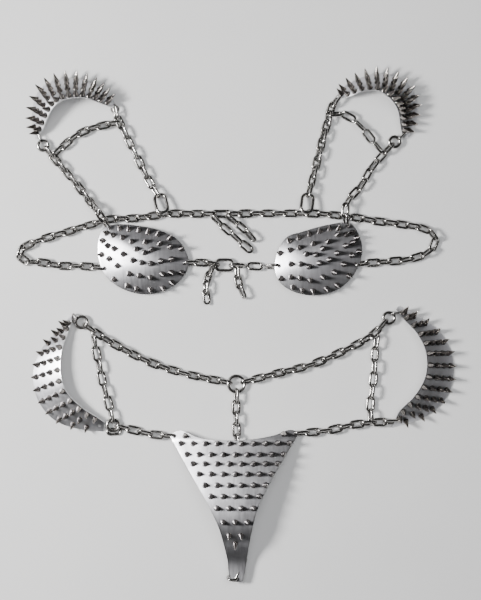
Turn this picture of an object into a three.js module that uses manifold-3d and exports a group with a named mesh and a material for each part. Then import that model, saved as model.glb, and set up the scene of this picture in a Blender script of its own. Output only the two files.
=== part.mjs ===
// Two-piece spiked plate and chain body armour, lying flat on a surface, in millimetres.
// +X points right and +Y towards the neck, as seen from above; +Z points up, off the surface.
// Left and right in the names are as seen from above. Sheet-metal plates carry cone studs, and
// short-link chain joins them through rings and oval links. Each run of chain is one plain bar
// of the chain's outer width and the height of a link that leans at 45 degrees.
import * as THREE from "three";
import { mergeVertices } from "three/addons/utils/BufferGeometryUtils.js";
import Module from "manifold-3d";

const wasm = await Module();
wasm.setup();

// ---- Driving dimensions ----
const SHEET = 1.5; // thickness of every plate
const STUD = { base: 7, height: 12, sides: 5, sunk: 0.7, fromEdge: 4.6 }; // sunk: into the sheet
const STUD_PITCH = 14.4; // between neighbouring studs
const CHAIN_STEP = 16; // between the sections of a chain's bar
const CHAIN = { width: 11, height: 8.8, flat: 5.5 }; // of 3 mm chain; flat: its flat underside
const HOLE = 4; // diameter of the holes that the end links pass through
const WIRE = 4; // thickness of the rings and oval links
const CUP = { lift: 2.6, rise: 13, round: 1, evenness: 0.6 }; // lift: its rim lies on end links
const FRONT_PLATE_TIP = 9.6; // underside of the front plate's tip, which lies on the chain
const OVER_CHAIN = 14.2; // middle of a chain where it crosses another one

const STEEL = { color: 0x8f8a88, roughness: 0.28, metalness: 1 };
const SATIN = { color: 0xc4c4c6, roughness: 0.38, metalness: 1 };

const vec = ([x, y, z = 0]) => new THREE.Vector3(x, y, z);
const curve = (points, closed = false) =>
  new THREE.CatmullRomCurve3(points.map(vec), closed, "centripetal");

// ---- Solids and booleans ----
function toSolid(geometry) {
  const bare = geometry.clone();
  bare.deleteAttribute("normal");
  bare.deleteAttribute("uv");
  const merged = mergeVertices(bare, 1e-4);
  return new wasm.Manifold(
    new wasm.Mesh({
      numProp: 3,
      vertProperties: new Float32Array(merged.attributes.position.array),
      triVerts: new Uint32Array(merged.index.array),
    }),
  );
}

function toGeometry(solid) {
  const mesh = solid.getMesh();
  const geometry = new THREE.BufferGeometry();
  geometry.setAttribute("position", new THREE.BufferAttribute(mesh.vertProperties, 3));
  geometry.setIndex(new THREE.BufferAttribute(mesh.triVerts, 1));
  const faceted = geometry.toNonIndexed();
  faceted.computeVertexNormals();
  return faceted;
}

// ---- Sheet metal ----
// An open surface that faces up, from points and triangles wound either way.
function openSurface(points, triangles) {
  const surface = new THREE.BufferGeometry().setFromPoints(points);
  surface.setIndex(triangles.flat());
  surface.computeVertexNormals();
  const normals = surface.attributes.normal;
  let facing = 0;
  for (let i = 0; i < normals.count; i++) facing += normals.getZ(i);
  if (facing < 0) {
    surface.setIndex(triangles.flatMap(([a, b, c]) => [a, c, b]));
    surface.computeVertexNormals();
  }
  return surface;
}

// A four-sided surface of columns × rows cells, from a point for each pair of shares.
function gridSurface(columns, rows, pointAt) {
  const points = [];
  const triangles = [];
  for (let j = 0; j <= rows; j++)
    for (let i = 0; i <= columns; i++) points.push(pointAt(i / columns, j / rows));
  for (let j = 0; j < rows; j++)
    for (let i = 0; i < columns; i++) {
      const a = j * (columns + 1) + i;
      const below = a + columns + 1;
      triangles.push([a, a + 1, below + 1], [a, below + 1, below]);
    }
  return openSurface(points, triangles);
}

// A shallow dome over a closed rim: rings of points shrink towards the middle as they rise. Where
// the rim is nearer to the middle it stands higher.
function domeSurface(rim, middle, around, rings) {
  const spokes = Array.from({ length: around }, (_, i) => rim.getPointAt(i / around).sub(vec(middle)));
  const longest = Math.max(...spokes.map((spoke) => spoke.length()));
  const fall = (share) => Math.hypot(share, CUP.round) - CUP.round;
  const points = [vec([...middle, CUP.lift + CUP.rise])];
  const triangles = [];
  for (let j = 1; j <= rings; j++)
    for (let i = 0; i < around; i++) {
      const share = j / rings;
      const drop = CUP.rise * (spokes[i].length() / longest) ** CUP.evenness;
      const point = spokes[i].clone().multiplyScalar(share).add(vec(middle));
      points.push(point.setZ(CUP.lift + CUP.rise - (drop * fall(share)) / fall(1)));
      const next = (i + 1) % around;
      const outer = 1 + (j - 1) * around;
      const inner = outer - around;
      if (j === 1) triangles.push([0, outer + i, outer + next]);
      else
        triangles.push(
          [inner + i, outer + i, outer + next],
          [inner + i, outer + next, inner + next],
        );
    }
  return openSurface(points, triangles);
}

// The sheet whose underside is the given surface.
function thicken(surface) {
  const { position, normal } = surface.attributes;
  const count = position.count;
  const under = Array.from({ length: count }, (_, i) =>
    new THREE.Vector3().fromBufferAttribute(position, i),
  );
  const over = under.map((point, i) =>
    point.clone().addScaledVector(new THREE.Vector3().fromBufferAttribute(normal, i), SHEET),
  );
  const index = [];
  const edges = new Map();
  const faces = surface.index.array;
  for (let f = 0; f < faces.length; f += 3) {
    const [a, b, c] = faces.slice(f, f + 3);
    index.push(a + count, b + count, c + count, a, c, b);
    for (const [from, to] of [[a, b], [b, c], [c, a]]) edges.set(`${from} ${to}`, [from, to]);
  }
  for (const [from, to] of edges.values())
    if (!edges.has(`${to} ${from}`))
      index.push(to + count, from + count, from, to + count, from, to);
  const sheet = new THREE.BufferGeometry().setFromPoints([...under, ...over]);
  sheet.setIndex(index);
  return sheet;
}

// Where a vertical line through a plan position meets the top of a sheet, and its normal there.
function spotOn(sheet, x, y) {
  const ray = new THREE.Raycaster(new THREE.Vector3(x, y, 200), new THREE.Vector3(0, 0, -1));
  const [hit] = ray.intersectObject(new THREE.Mesh(sheet));
  if (!hit) throw new Error(`no sheet at ${x.toFixed(1)}, ${y.toFixed(1)}`);
  return { point: hit.point, normal: hit.face.normal.clone() };
}

function along(geometry, { point, normal }, offset) {
  const up = new THREE.Vector3(0, 1, 0);
  return geometry
    .applyQuaternion(new THREE.Quaternion().setFromUnitVectors(up, normal))
    .translate(...point.clone().addScaledVector(normal, offset).toArray());
}

// A sheet with its studs on and its holes drilled, at plan positions.
function studdedPlate(surface, studs, holes) {
  const sheet = thicken(surface);
  let plate = toSolid(sheet);
  for (const [x, y] of studs) {
    const cone = new THREE.ConeGeometry(STUD.base / 2, STUD.height + STUD.sunk, STUD.sides);
    plate = plate.add(toSolid(along(cone, spotOn(sheet, x, y), (STUD.height - STUD.sunk) / 2)));
  }
  for (const [x, y] of holes) {
    const drill = new THREE.CylinderGeometry(HOLE / 2, HOLE / 2, 4 * SHEET, 8);
    plate = plate.subtract(toSolid(along(drill, spotOn(sheet, x, y), -SHEET / 2)));
  }
  return toGeometry(plate);
}

// ---- Domed cups ----
// The studs are set by eye, in rough rows from the neck side down.
const CUPS = {
  left: {
    rim: [[-159.3, 113.5], [-144.8, 117.5], [-119.7, 116], [-91.7, 110], [-68.6, 97], [-57.8, 70],
      [-71.5, 48], [-104.3, 35], [-135.1, 41], [-157.3, 58.5], [-165.4, 87.6]],
    middle: [-107, 76],
    studs: [
      [-139.7, 113], [-128.8, 112], [-116.7, 110.9], [-105.8, 108.5], [-94.2, 106], [-79.9, 101.5],
      [-66.1, 89],
      [-155.9, 107.5], [-147.8, 105], [-136.3, 102], [-125.3, 97.2], [-109.2, 96.6], [-91.9, 94.8],
      [-79.3, 91.2],
      [-160.2, 98.5], [-154, 92.5], [-146.1, 88.9], [-135.1, 82.3], [-119.6, 88.3], [-109.8, 84.1],
      [-101.2, 87.7],
      [-161.4, 82], [-152, 77], [-123.7, 75.1], [-113.2, 72.2], [-102.3, 71], [-90.3, 74],
      [-77.5, 76.3],
      [-142, 68.6], [-128.2, 59], [-116.1, 56.7], [-102.9, 54.3], [-88.5, 58.4], [-78.1, 60.2],
      [-65.7, 60],
      [-146.7, 52.5], [-130.5, 45], [-119.6, 41], [-102.9, 40], [-88, 41.6], [-77.5, 48.3],
    ],
    holes: [[-157.8, 66], [-62.3, 71]],
  },
  right: {
    rim: [[59.4, 101.5], [79.7, 109], [111.5, 117.5], [134.7, 119.5], [144.3, 109.5], [150.1, 88],
      [143.4, 64], [123.1, 42], [92.2, 33.5], [63.3, 40.5], [49.3, 54], [47.4, 76]],
    middle: [85, 73],
    studs: [
      [63.3, 98], [74.3, 102], [86.9, 106.2], [99, 109.7], [111.1, 112.7], [122.1, 113.3],
      [52.2, 83.5], [63.9, 87.1], [74.9, 90], [91.5, 94.8], [109.3, 97.2], [120.9, 105.6],
      [131.3, 106], [138.6, 108.5],
      [82.9, 82.3], [94.9, 81.7], [103, 88.9], [120.3, 83.5], [130.6, 92.4], [138.6, 96],
      [143.9, 102],
      [65, 70.4], [76.5, 70.4], [86.3, 67.4], [99, 71.6], [111.1, 75.7], [128.3, 70.4],
      [138.1, 81], [146.3, 85.5],
      [53.2, 53.5], [65, 54.9], [75.9, 53.7], [88.1, 50.7], [103, 54.9], [116.8, 60.8],
      [134.7, 56.5],
      [67.3, 42.8], [78.8, 38.8], [91.5, 38.2], [107.6, 41], [120.3, 45.3],
    ],
    holes: [[51.2, 68], [141.9, 70.5]],
  },
};

function cup({ rim, middle, studs, holes }) {
  return studdedPlate(domeSurface(curve(rim, true), middle, 22, 5), studs, holes);
}

// ---- Crescent plates ----
// Each runs from tip to tip between an inner edge, which stands up, and an outer edge, which lies
// on the surface. The stations pair the points of the two edges: [inner x, y, z, outer x, y]. One
// stands at each tip and the others at every second row of studs. The sheet bulges outwards
// between its edges, by a share of its width.
const CRESCENTS = {
  shoulder_plate_left: {
    bulge: 0.09,
    studsInRows: [1, 2, 3, 4, 4, 4, 4, 4, 4, 4, 4, 3, 3, 3, 2],
    stations: [[-236, 225, 8, -239.5, 221], [-231.5, 230, 13, -243.5, 236], [-224, 245, 21, -243.5, 257],
      [-216, 257, 27, -234.5, 280], [-205, 264, 31, -215.5, 290.5], [-190.5, 267, 31, -192, 292.5],
      [-176, 266, 27, -171, 285], [-164, 262, 19, -157, 275], [-148, 257, 8, -147, 263]],
  },
  shoulder_plate_right: {
    bulge: 0.09,
    studsInRows: [1, 2, 3, 3, 4, 4, 4, 4, 4, 4, 4, 4, 4, 3, 2],
    stations: [[121, 268.5, 8, 122, 272.5], [135, 270, 13, 127, 281], [150.5, 275, 23, 145, 291],
      [167.5, 275, 29, 167.5, 298], [180, 268, 26, 190.5, 294], [189, 259, 18, 209, 281],
      [193.5, 250, 12, 216.5, 261.5], [195.5, 237, 8.5, 213.5, 240], [199, 222.5, 6, 204.5, 223]],
  },
  hip_plate_left: {
    bulge: 0.03,
    studsInRows: [2, 3, 3, 4, 4, 4, 4, 4, 4, 4, 3, 2],
    stations: [[-196, 8, 6, -199.5, 6], [-199, -5, 8, -219, -15], [-207, -27.5, 12.5, -237, -38],
      [-209.5, -54.5, 15, -243.5, -66], [-203.5, -79.5, 15, -236, -95], [-184, -100.5, 13, -216, -117],
      [-166.5, -112, 10, -182.5, -127.5], [-158, -118.5, 6, -160, -129]],
  },
  hip_plate_right: {
    bulge: 0.05,
    studsInRows: [2, 3, 3, 4, 4, 4, 4, 4, 4, 4, 4, 3, 2],
    stations: [[191, 16.5, 6, 194, 19.5], [199, 5, 9, 215.5, 8.5], [215.5, -13.5, 14, 242.5, -10.5],
      [225.5, -36, 17, 257, -36], [224.5, -63.5, 17.5, 259, -67], [211.5, -87, 16, 248.5, -93],
      [194.5, -104.5, 12, 225, -112], [188.5, -118.5, 6, 185.5, -124.5]],
  },
};

function crescentPlate({ bulge, studsInRows, stations }) {
  const inner = curve(stations.map(([x, y, z]) => [x, y, z]));
  const outer = curve(stations.map(([, , , x, y]) => [x, y, 0]));
  const gaps = stations.length - 1;
  const pointAt = (u, v) => {
    const from = inner.getPoint(u);
    const across = outer.getPoint(u).sub(from);
    const outwards = new THREE.Vector3(across.x, across.y, 0).normalize();
    const out = outwards.multiplyScalar(-across.z).setZ(Math.hypot(across.x, across.y));
    const rise = 4 * bulge * across.length() * v * (1 - v);
    return from.addScaledVector(across, v).addScaledVector(out.normalize(), rise);
  };
  const studs = studsInRows.flatMap((count, row) => {
    const u = (row + 1) / 2 / gaps;
    const margin = STUD.fromEdge / inner.getPoint(u).distanceTo(outer.getPoint(u));
    return Array.from({ length: count }, (_, i) => {
      const v = count === 1 ? 0.5 : margin + ((1 - 2 * margin) * i) / (count - 1);
      const { x, y } = pointAt(u, v);
      return [x, y];
    });
  });
  return studdedPlate(gridSurface(2 * gaps, 4, pointAt), studs, []);
}

// ---- Front plate ----
// A long triangle, arched from side to side. It faces up, then bends down to its narrow tip.
const FRONT_PLATE = {
  top: [[-80, -134], [-68, -128.5], [-44, -137], [0, -140], [44, -134], [64, -127.5], [75, -131]],
  left: [[-80, -134], [-56, -176], [-35.5, -212], [-21, -242], [-15, -263], [-10.5, -284], [-9, -300],
    [-6, -309]],
  right: [[75, -131], [56, -162], [39, -191], [24.5, -222], [16.5, -254], [12, -284], [9.5, -300],
    [6.5, -309]],
  // Height of the middle line at distances from the neck end, and how far the sides drop below it.
  crest: [[-140, 16], [-176, 24], [-212, 29], [-240, 29], [-254, 25.5], [-268, 17],
    [-280, 11.6], [-290, FRONT_PLATE_TIP + 0.2], [-309, FRONT_PLATE_TIP]],
  drop: 11,
  studCentre: -1.5,
  studRows: [[-143.6, 10], [-156.5, 9], [-167.3, 8], [-179.3, 7], [-192.2, 6], [-205.3, 5],
    [-219.3, 4], [-235.9, 3], [-252.2, 2], [-262, 1]],
  earStuds: [[-61.5, -134.5], [56.5, -132.5]],
  holes: [[-74, -135.5], [70, -132.5], [0.6, -304.3]],
};

function frontPlate({ top, left, right, crest, drop, studCentre, studRows, earStuds, holes }) {
  const [topEdge, leftEdge, rightEdge] = [top, left, right].map((points) => curve(points));
  const crestLine = curve(crest.map(([y, z]) => [0, y, z]));
  const heightAt = (y) => {
    const points = crestLine.getPoints(80);
    const next = points.findIndex((point) => point.y < y);
    return next < 0 ? crest.at(-1)[1] : points[Math.max(next, 0)].z;
  };
  const pointAt = (u, v) => {
    const from = leftEdge.getPointAt(v);
    const to = rightEdge.getPointAt(v);
    const point = from.clone().lerp(to, u);
    const chord = vec(top[0]).lerp(vec(top.at(-1)), u);
    point.addScaledVector(topEdge.getPointAt(u).sub(chord), (1 - v) ** 3);
    const width = to.distanceTo(from) / vec(top[0]).distanceTo(vec(top.at(-1)));
    return point.setZ(heightAt(point.y) - drop * (width * (2 * u - 1)) ** 2);
  };
  const rows = studRows.flatMap(([y, count]) =>
    Array.from({ length: count }, (_, i) => [studCentre + STUD_PITCH * (i - (count - 1) / 2), y]),
  );
  return studdedPlate(gridSurface(10, 14, pointAt), [...rows, ...earStuds], holes);
}

// ---- Rings, oval links and chains ----
function ring(diameter) {
  return new THREE.TorusGeometry((diameter - WIRE) / 2, WIRE / 2, 5, 12);
}

// A ring pulled apart along X, so that its long sides are straight.
function ovalLink(length, width) {
  const oval = new THREE.TorusGeometry((width - WIRE) / 2, WIRE / 2, 5, 10);
  oval.rotateZ(Math.PI / 10);
  const { position } = oval.attributes;
  for (let i = 0; i < position.count; i++) {
    const x = position.getX(i);
    position.setX(i, x + (Math.sign(x) * (length - width)) / 2);
  }
  return oval;
}

const chainSection = new THREE.Shape(
  [[1, -1], [1, 1], [-1, 1], [-1, -1]].flatMap(([up, side]) => {
    const flank = new THREE.Vector2((up * CHAIN.height) / 5, (side * CHAIN.width) / 2);
    const sole = new THREE.Vector2((up * CHAIN.height) / 2, (side * CHAIN.flat) / 2);
    return up * side < 0 ? [flank, sole] : [sole, flank];
  }),
);

// The middle of a chain: a smooth route that never sinks into the surface.
class ChainPath extends THREE.CatmullRomCurve3 {
  getPoint(share, target) {
    const point = super.getPoint(share, target);
    return point.setZ(Math.max(point.z, CHAIN.height / 2));
  }
}

function chainRun(route) {
  const points = route.map(([x, y, z = CHAIN.height / 2]) => vec([x, y, z]));
  const path = new ChainPath(points, false, "centripetal");
  const steps = Math.max(2, Math.round(path.getLength() / CHAIN_STEP));
  return new THREE.ExtrudeGeometry(chainSection, { steps, extrudePath: path });
}

// Chain routes: points along the middle of the chain, with a height only where it leaves the surface.
const CHAINS = {
  shoulder_tie_left: [[-211.5, 206], [-205.5, 213.5], [-194, 223], [-182, 230], [-170, 234],
    [-158, 237], [-147, 239]],
  shoulder_tie_right: [[169, 211], [160, 222], [150.5, 234], [139, 244.5], [130, 250],
    [119.5, 251]],
  front_strap_left: [[-222, 205.5], [-203.5, 180], [-189, 163], [-176, 146], [-165.5, 133.5, OVER_CHAIN],
    [-153, 120.5, OVER_CHAIN]],
  front_strap_right: [[178, 208.5], [160, 183.5], [149.5, 164], [137.5, 152], [129.5, 137, OVER_CHAIN],
    [132, 120, OVER_CHAIN]],
  back_strap_left: [[-145, 255.5], [-143.5, 247], [-138.5, 237.5], [-130, 219.5], [-122, 204],
    [-113.5, 187], [-104, 169], [-98, 158.5]],
  back_strap_right: [[117.5, 266], [111.5, 255], [110, 241], [106, 231.5], [100, 207.5],
    [94, 183.5], [89, 160.5]],
  band_chain_left: [[-169.5, 66], [-190.5, 68.5], [-213, 68.5], [-233.5, 73], [-252.5, 73.5],
    [-261, 80.5], [-258, 89], [-244, 96], [-227.5, 102], [-206, 108], [-186.5, 114.5], [-167.5, 119.5],
    [-154, 124.5], [-128, 125], [-104, 127.5], [-86, 130.8], [-56, 130.8], [-32, 130.8]],
  band_chain_right: [[-4, 130.8], [29.5, 131.3], [53.5, 131.3], [84.5, 131.3], [112, 130],
    [127, 128], [149.5, 125.3], [162.5, 122.5], [188, 119.5], [207, 116.5], [225, 113],
    [238, 104.5], [237, 92.5], [224, 81.5], [201, 75.5], [173.5, 73], [155.5, 70]],
  band_tail_long: [[-24, 119.5], [-17, 116.5], [-3.6, 104.8], [8, 94.5], [19.5, 85]],
  band_tail_short: [[-2.5, 119], [10, 111.5], [18.6, 102], [23.5, 97.3]],
  bust_chain_left: [[-52, 71.5], [-40, 72.5], [-27.5, 70.5]],
  bust_chain_right: [[-1.5, 68.5], [11.5, 68.5], [34, 67.5], [42.5, 68]],
  bust_tail_left: [[-32, 63], [-36, 51], [-37, 40], [-34.5, 21.5]],
  bust_tail_right: [[1, 62], [1.5, 51.5], [5.5, 40], [11, 28.5]],
  back_chain_left: [[-174.5, -6.5], [-164, -14.5], [-140, -29], [-104, -47], [-68, -59], [-38, -66],
    [-14, -71]],
  back_chain_right: [[14, -69.5], [46, -61], [88, -50.5], [130, -32.5], [162.5, -14.5],
    [173, -5.5]],
  side_chain_left: [[-170.3, -23], [-168.6, -32.5], [-165, -47], [-161.5, -66], [-156, -86],
    [-151, -104], [-150, -110]],
  side_chain_right: [[167.5, -23], [166, -32.5], [165, -56.5], [162.5, -80.5], [160, -98.5],
    [161, -112.5]],
  hip_front_chain_left: [[-137.5, -125], [-122, -128.5], [-104, -133], [-83, -136]],
  hip_front_chain_right: [[78.5, -131], [88, -131], [112, -128.5], [136, -122.5], [160, -119.5],
    [183.5, -118.5]],
  crotch_chain: [[0, -86], [-0.5, -116.5], [0.5, -138], [2, -188], [5, -230], [8.5, -262],
    [9.5, -280], [6, -298]],
};

// Rings: [outer diameter, x, y, z of the middle].
const RINGS = {
  shoulder_ring_left: [16, -231.5, 212.5, 5],
  shoulder_ring_right: [16.5, 189.5, 217, 5],
  hip_ring_left: [18, -185.5, 1, 5],
  hip_ring_right: [17.5, 182.5, 6, 5],
  hip_ring_low_left: [18, -148, -122.5, 5],
  back_ring: [23.5, 0, -73, 5],
};

// Oval links: outer length and width, where their middle is, and their turn from the X axis and
// their tilt, in degrees. The ovals of the back straps tilt up to cross the band.
const OVALS = {
  band_oval: { length: 25, width: 11, at: [-18, 130.8, 4], turn: 0, tilt: 0 },
  bust_oval: { length: 24, width: 17, at: [-14.5, 69.5, 4], turn: 0, tilt: 0 },
  back_strap_oval_left: { length: 27, width: 17.5, at: [-90, 143, 8.9], turn: -76, tilt: -15 },
  back_strap_oval_right: { length: 27, width: 17.5, at: [84.5, 143.5, 8.9], turn: -98, tilt: -15 },
};

// ---- The armour ----
const armour = new THREE.Group();
armour.name = "spiked_armour";

function addPiece(name, geometry, finish) {
  const mesh = new THREE.Mesh(geometry, new THREE.MeshStandardMaterial(finish));
  mesh.name = name;
  armour.add(mesh);
  return mesh;
}

for (const [side, form] of Object.entries(CUPS)) addPiece(`cup_${side}`, cup(form), SATIN);
for (const [name, form] of Object.entries(CRESCENTS)) addPiece(name, crescentPlate(form), SATIN);
addPiece("front_plate", frontPlate(FRONT_PLATE), SATIN);
for (const [name, [diameter, ...at]] of Object.entries(RINGS))
  addPiece(name, ring(diameter), STEEL).position.set(...at);
for (const [name, { length, width, at, turn, tilt }] of Object.entries(OVALS)) {
  const oval = addPiece(name, ovalLink(length, width), STEEL);
  oval.position.set(...at);
  oval.rotation.set(0, THREE.MathUtils.degToRad(tilt), THREE.MathUtils.degToRad(turn), "ZYX");
}
for (const [name, route] of Object.entries(CHAINS)) addPiece(name, chainRun(route), STEEL);

// The origin is under the middle of the whole outline.
const middle = new THREE.Box3().setFromObject(armour).getCenter(new THREE.Vector3());
armour.position.set(-middle.x, -middle.y, 0);

export default armour;
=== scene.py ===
"""Looks of a two-piece spiked plate and chain body armour, lying flat on a pale floor.

All sizes are in metres, in the frame of the CAD model: +X points right and +Y towards the neck, as
seen from above, and +Z up off the floor. Left and right in the names are as seen from above.
"""
import math
import random

import bmesh
import bpy
from mathutils import Matrix, Vector, noise
from mathutils.bvhtree import BVHTree


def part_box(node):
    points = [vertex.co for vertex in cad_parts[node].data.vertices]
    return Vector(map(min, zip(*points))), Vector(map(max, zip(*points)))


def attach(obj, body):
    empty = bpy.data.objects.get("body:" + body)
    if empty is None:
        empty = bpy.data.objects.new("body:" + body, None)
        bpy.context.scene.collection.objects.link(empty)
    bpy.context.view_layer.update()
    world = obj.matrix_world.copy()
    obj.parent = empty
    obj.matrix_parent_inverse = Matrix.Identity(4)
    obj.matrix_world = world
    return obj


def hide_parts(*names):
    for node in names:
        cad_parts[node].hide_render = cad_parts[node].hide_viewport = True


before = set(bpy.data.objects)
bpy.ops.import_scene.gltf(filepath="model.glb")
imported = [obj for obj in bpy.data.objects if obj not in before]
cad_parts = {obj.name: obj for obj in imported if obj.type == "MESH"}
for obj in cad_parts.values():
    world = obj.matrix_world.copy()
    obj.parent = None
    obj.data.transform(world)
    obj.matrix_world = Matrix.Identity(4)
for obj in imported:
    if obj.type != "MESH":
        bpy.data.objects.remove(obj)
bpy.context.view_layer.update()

random.seed(11)

# ---- Driving dimensions ----
SHEET = 0.0015  # thickness of every plate
RIM_ROUND = 0.00035  # how far the cut edges of the plates are rounded
DENT = 0.00028  # how deep the hand-worked sheet is dented
DENTS_PER_METRE = 34
DENT_FADE = 0.004  # height above the surface at which the dents reach their full depth
RIM_HIGHLIGHT_REACH = 0.0016  # how far in from the cut edge the painted highlight along it reaches
STUD_RADIUS = 0.0035
STUD_HEIGHT = 0.012
STUD_FROM_EDGE = 0.0046
STUD_PITCH = 0.0144
SCREW_RADIUS = 0.0026  # of the screw heads behind the studs
SCREW_HEIGHT = 0.0009
HOLE = 0.004  # diameter of the holes that the end links pass through
WIRE = 0.004  # thickness of the rings and oval links
LINK = {"length": 0.0204, "width": 0.0116, "wire": 0.0033}
JUMP_WIRE = 0.002  # thickness of the small links that join the tips of the plates to the rings
TAUT = 0.0138  # between the middles of the links where a chain is drawn out
SLACK = 0.0122  # and where it lies bunched up
CHAIN_MIDDLE = 0.0044  # height of the middle of a chain that lies on the surface
OVER_CHAIN = 0.0142  # and where it crosses another one
CUP_LIFT = 0.0026
CUP_RISE = 0.013
CUP_ROUND = 1.0
CUP_EVENNESS = 0.6
FRONT_PLATE_TIP = 0.0096

# The design is drawn about the line through the back ring. The frame has its origin under the
# middle of the whole outline.
BACK_RING = Vector((0, -0.073))
ring_low, ring_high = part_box("back_ring")
SHIFT = ((ring_low + ring_high) / 2).to_2d() - BACK_RING
SHIFT = SHIFT.to_3d()


# ---- Curves ----
class Curve:
    """A centripetal Catmull-Rom curve through points, open or closed."""

    STEPS = 400

    def __init__(self, points, closed=False):
        self.points = [Vector(point).to_3d() if len(point) < 3 else Vector(point) for point in points]
        self.closed = closed
        self.spans = len(points) if closed else len(points) - 1
        marks = [self.point(i / self.STEPS) for i in range(self.STEPS + 1)]
        self.lengths = [0.0]
        for before, after in zip(marks, marks[1:]):
            self.lengths.append(self.lengths[-1] + (after - before).length)
        self.length = self.lengths[-1]

    def knot(self, i):
        points = self.points
        if self.closed:
            return points[i % len(points)]
        if i < 0:
            return 2 * points[0] - points[1]
        if i >= len(points):
            return 2 * points[-1] - points[-2]
        return points[i]

    def point(self, share):
        """The point at a share of the spans between the knots."""
        place = min(max(share, 0), 1) * self.spans
        i = min(int(place), self.spans - 1)
        t = place - i
        a, b, c, d = (self.knot(i + k) for k in (-1, 0, 1, 2))
        before, here, after = (max((q - p).length, 1e-9) ** 0.5 for p, q in ((a, b), (b, c), (c, d)))
        start = ((b - a) / before - (c - a) / (before + here) + (c - b) / here) * here
        end = ((c - b) / here - (d - b) / (here + after) + (d - c) / after) * here
        return (
            b
            + start * t
            + (3 * (c - b) - 2 * start - end) * t**2
            + (2 * (b - c) + start + end) * t**3
        )

    def at(self, share):
        """The point at a share of the curve's length."""
        wanted = min(max(share, 0), 1) * self.length
        low, high = 0, self.STEPS
        while high - low > 1:
            middle = (low + high) // 2
            if self.lengths[middle] <= wanted:
                low = middle
            else:
                high = middle
        step = self.lengths[high] - self.lengths[low]
        part = (wanted - self.lengths[low]) / step if step else 0
        return self.point((low + part) / self.STEPS)


# ---- Materials ----
def node_material(name):
    material = bpy.data.materials.new(name)
    material.use_nodes = True
    tree = material.node_tree
    return material, tree, tree.nodes["Principled BSDF"]


def add_node(tree, kind, **values):
    node = tree.nodes.new(kind)
    for key, value in values.items():
        setattr(node, key, value)
    return node


def mapped(tree, coordinate, scale):
    """Texture coordinates stretched by a scale along each axis."""
    source = add_node(tree, "ShaderNodeTexCoord")
    mapping = add_node(tree, "ShaderNodeMapping")
    mapping.inputs["Scale"].default_value = scale
    tree.links.new(source.outputs[coordinate], mapping.inputs["Vector"])
    return mapping.outputs["Vector"]


def noise_of(tree, vector, scale, detail=4.0, roughness=0.6, distortion=0.0):
    texture = add_node(tree, "ShaderNodeTexNoise")
    texture.inputs["Scale"].default_value = scale
    texture.inputs["Detail"].default_value = detail
    texture.inputs["Roughness"].default_value = roughness
    texture.inputs["Distortion"].default_value = distortion
    tree.links.new(vector, texture.inputs["Vector"])
    return texture.outputs["Fac"]


def ramp_of(tree, factor, *stops):
    """Colours, or greys given as numbers, at places along a factor."""
    ramp = add_node(tree, "ShaderNodeValToRGB")
    elements = ramp.color_ramp.elements
    while len(elements) < len(stops):
        elements.new(0.5)
    for element, (place, colour) in zip(elements, stops):
        element.position = place
        grey = isinstance(colour, (int, float))
        element.color = (colour, colour, colour, 1) if grey else (*colour, 1)
    tree.links.new(factor, ramp.inputs["Fac"])
    return ramp.outputs["Color"]


def mixed(tree, factor, first, second, blend="MIX"):
    mix = add_node(tree, "ShaderNodeMix", data_type="RGBA", blend_type=blend)
    for name, value in (("Factor", factor), ("A", first), ("B", second)):
        socket = mix.inputs[name]
        if isinstance(value, (int, float)):
            socket.default_value = value
        elif isinstance(value, tuple):
            socket.default_value = (*value, 1)
        else:
            tree.links.new(value, socket)
    return mix.outputs["Result"]


def bumped(tree, height, distance, strength=1.0, under=None):
    bump = add_node(tree, "ShaderNodeBump")
    bump.inputs["Distance"].default_value = distance
    bump.inputs["Strength"].default_value = strength
    tree.links.new(height, bump.inputs["Height"])
    if under is not None:
        tree.links.new(under, bump.inputs["Normal"])
    return bump.outputs["Normal"]


def attribute_of(tree, name):
    return add_node(tree, "ShaderNodeAttribute", attribute_name=name).outputs["Fac"]


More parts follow.
